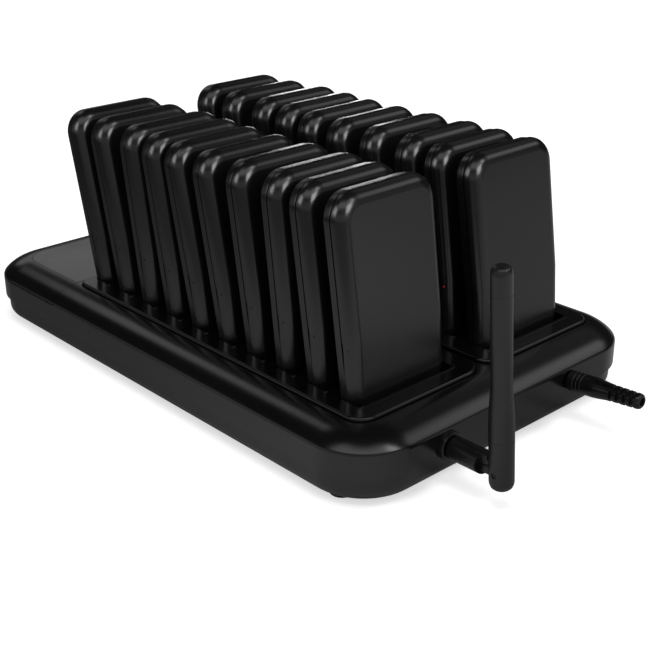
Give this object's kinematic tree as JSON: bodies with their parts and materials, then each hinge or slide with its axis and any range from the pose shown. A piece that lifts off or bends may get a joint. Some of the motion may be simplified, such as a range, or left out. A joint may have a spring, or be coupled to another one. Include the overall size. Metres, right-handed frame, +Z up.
{
  "type": "guest pager system",
  "caption": "low charging base with rows of upright lean pagers in tilted pockets, a touch keypad console, a tilting antenna and a push-in power plug",
  "frame": {"origin": "on the table, under the middle of the whole outline (base, antenna and power plug)", "axes": "+Z up; +X along the base from the console end to the end with the antenna and the power plug, the longest way; +Y across, toward the row of pagers on the power plug's side"},
  "size_m": [0.4002, 0.2214, 0.1412],
  "materials": {
    "case": "satin",
    "pan": "matte",
    "panel": "satin",
    "window": "gloss",
    "tray": "gloss",
    "pager": "satin",
    "pager_back": "satin",
    "rubber": "matte",
    "steel": "satin",
    "contacts": "satin",
    "circuit_board": "satin",
    "connector": "matte",
    "connector_metal": "satin",
    "plug_rubber": "satin",
    "antenna": "satin"
  },
  "bodies": {
    "base": {"base_top_shell": "case", "base_bottom_shell": "pan", "console_cover": "case", "keypad_panel": "panel", "display_window": "window", "near_tray": "tray", "far_tray": "tray", "rubber_feet": "rubber", "base_screws": "steel", "charging_contacts": "contacts", "charging_board": "circuit_board", "main_board": "circuit_board", "radio_module": "circuit_board", "dc_jack": "connector", "antenna_socket": "connector_metal", "antenna_nut": "connector"},
    "antenna_swivel": {"antenna_barrel": "antenna"},
    "antenna_rod": {"antenna_whip": "antenna", "antenna_hinge_pin": "connector_metal"},
    "plug": {"dc_plug": "plug_rubber"},
    "near_pager_01": {"near_pager_01_shell": "pager", "near_pager_01_back": "pager_back"},
    "near_pager_02": {"near_pager_02_shell": "pager", "near_pager_02_back": "pager_back"},
    "near_pager_03": {"near_pager_03_shell": "pager", "near_pager_03_back": "pager_back"},
    "near_pager_04": {"near_pager_04_shell": "pager", "near_pager_04_back": "pager_back"},
    "near_pager_05": {"near_pager_05_shell": "pager", "near_pager_05_back": "pager_back"},
    "near_pager_06": {"near_pager_06_shell": "pager", "near_pager_06_back": "pager_back"},
    "near_pager_07": {"near_pager_07_shell": "pager", "near_pager_07_back": "pager_back"},
    "near_pager_08": {"near_pager_08_shell": "pager", "near_pager_08_back": "pager_back"},
    "near_pager_09": {"near_pager_09_shell": "pager", "near_pager_09_back": "pager_back"},
    "near_pager_10": {"near_pager_10_shell": "pager", "near_pager_10_back": "pager_back"},
    "far_pager_01": {"far_pager_01_shell": "pager", "far_pager_01_back": "pager_back"},
    "far_pager_02": {"far_pager_02_shell": "pager", "far_pager_02_back": "pager_back"},
    "far_pager_03": {"far_pager_03_shell": "pager", "far_pager_03_back": "pager_back"},
    "far_pager_04": {"far_pager_04_shell": "pager", "far_pager_04_back": "pager_back"},
    "far_pager_05": {"far_pager_05_shell": "pager", "far_pager_05_back": "pager_back"},
    "far_pager_06": {"far_pager_06_shell": "pager", "far_pager_06_back": "pager_back"},
    "far_pager_07": {"far_pager_07_shell": "pager", "far_pager_07_back": "pager_back"},
    "far_pager_08": {"far_pager_08_shell": "pager", "far_pager_08_back": "pager_back"},
    "far_pager_09": {"far_pager_09_shell": "pager", "far_pager_09_back": "pager_back"},
    "far_pager_10": {"far_pager_10_shell": "pager", "far_pager_10_back": "pager_back"}
  },
  "joints": [
    {"name": "antenna_swivel", "type": "hinge", "parent": "base", "child": "antenna_swivel", "pos_m": [0.15626, -0.051, 0.0205], "axis": [1, 0, 0], "range_deg": [-85, 75]},
    {"name": "antenna_tilt", "type": "hinge", "parent": "antenna_swivel", "child": "antenna_rod", "pos_m": [0.18606, -0.051, 0.0205], "axis": [0, 0.996, 0.0889], "range_deg": [0, 90]},
    {"name": "plug_pull", "type": "slide", "parent": "base", "child": "plug", "axis": [0.9969, 0, 0.0785], "range_m": [0, 0.05]},
    {"name": "near_pager_01_lift", "type": "slide", "parent": "base", "child": "near_pager_01", "axis": [-0.2181, 0, 0.9759], "range_m": [0, 0.1]},
    {"name": "near_pager_02_lift", "type": "slide", "parent": "base", "child": "near_pager_02", "axis": [-0.2028, 0, 0.9792], "range_m": [0, 0.1]},
    {"name": "near_pager_03_lift", "type": "slide", "parent": "base", "child": "near_pager_03", "axis": [-0.1374, 0, 0.9905], "range_m": [0, 0.1]},
    {"name": "near_pager_04_lift", "type": "slide", "parent": "base", "child": "near_pager_04", "axis": [-0.1702, 0, 0.9854], "range_m": [0, 0.1]},
    {"name": "near_pager_05_lift", "type": "slide", "parent": "base", "child": "near_pager_05", "axis": [-0.2045, 0, 0.9789], "range_m": [0, 0.1]},
    {"name": "near_pager_06_lift", "type": "slide", "parent": "base", "child": "near_pager_06", "axis": [-0.1925, 0, 0.9813], "range_m": [0, 0.1]},
    {"name": "near_pager_07_lift", "type": "slide", "parent": "base", "child": "near_pager_07", "axis": [-0.1495, 0, 0.9888], "range_m": [0, 0.1]},
    {"name": "near_pager_08_lift", "type": "slide", "parent": "base", "child": "near_pager_08", "axis": [-0.108, 0, 0.9942], "range_m": [0, 0.1]},
    {"name": "near_pager_09_lift", "type": "slide", "parent": "base", "child": "near_pager_09", "axis": [-0.1409, 0, 0.99], "range_m": [0, 0.1]},
    {"name": "near_pager_10_lift", "type": "slide", "parent": "base", "child": "near_pager_10", "axis": [-0.1392, 0, 0.9903], "range_m": [0, 0.1]},
    {"name": "far_pager_01_lift", "type": "slide", "parent": "base", "child": "far_pager_01", "axis": [-0.2079, 0, 0.9781], "range_m": [0, 0.1]},
    {"name": "far_pager_02_lift", "type": "slide", "parent": "base", "child": "far_pager_02", "axis": [-0.1908, 0, 0.9816], "range_m": [0, 0.1]},
    {"name": "far_pager_03_lift", "type": "slide", "parent": "base", "child": "far_pager_03", "axis": [-0.134, 0, 0.991], "range_m": [0, 0.1]},
    {"name": "far_pager_04_lift", "type": "slide", "parent": "base", "child": "far_pager_04", "axis": [-0.1599, 0, 0.9871], "range_m": [0, 0.1]},
    {"name": "far_pager_05_lift", "type": "slide", "parent": "base", "child": "far_pager_05", "axis": [-0.1977, 0, 0.9803], "range_m": [0, 0.1]},
    {"name": "far_pager_06_lift", "type": "slide", "parent": "base", "child": "far_pager_06", "axis": [-0.1908, 0, 0.9816], "range_m": [0, 0.1]},
    {"name": "far_pager_07_lift", "type": "slide", "parent": "base", "child": "far_pager_07", "axis": [-0.1547, 0, 0.988], "range_m": [0, 0.1]},
    {"name": "far_pager_08_lift", "type": "slide", "parent": "base", "child": "far_pager_08", "axis": [-0.1184, 0, 0.993], "range_m": [0, 0.1]},
    {"name": "far_pager_09_lift", "type": "slide", "parent": "base", "child": "far_pager_09", "axis": [-0.1444, 0, 0.9895], "range_m": [0, 0.1]},
    {"name": "far_pager_10_lift", "type": "slide", "parent": "base", "child": "far_pager_10", "axis": [-0.1564, 0, 0.9877], "range_m": [0, 0.1]}
  ]
}
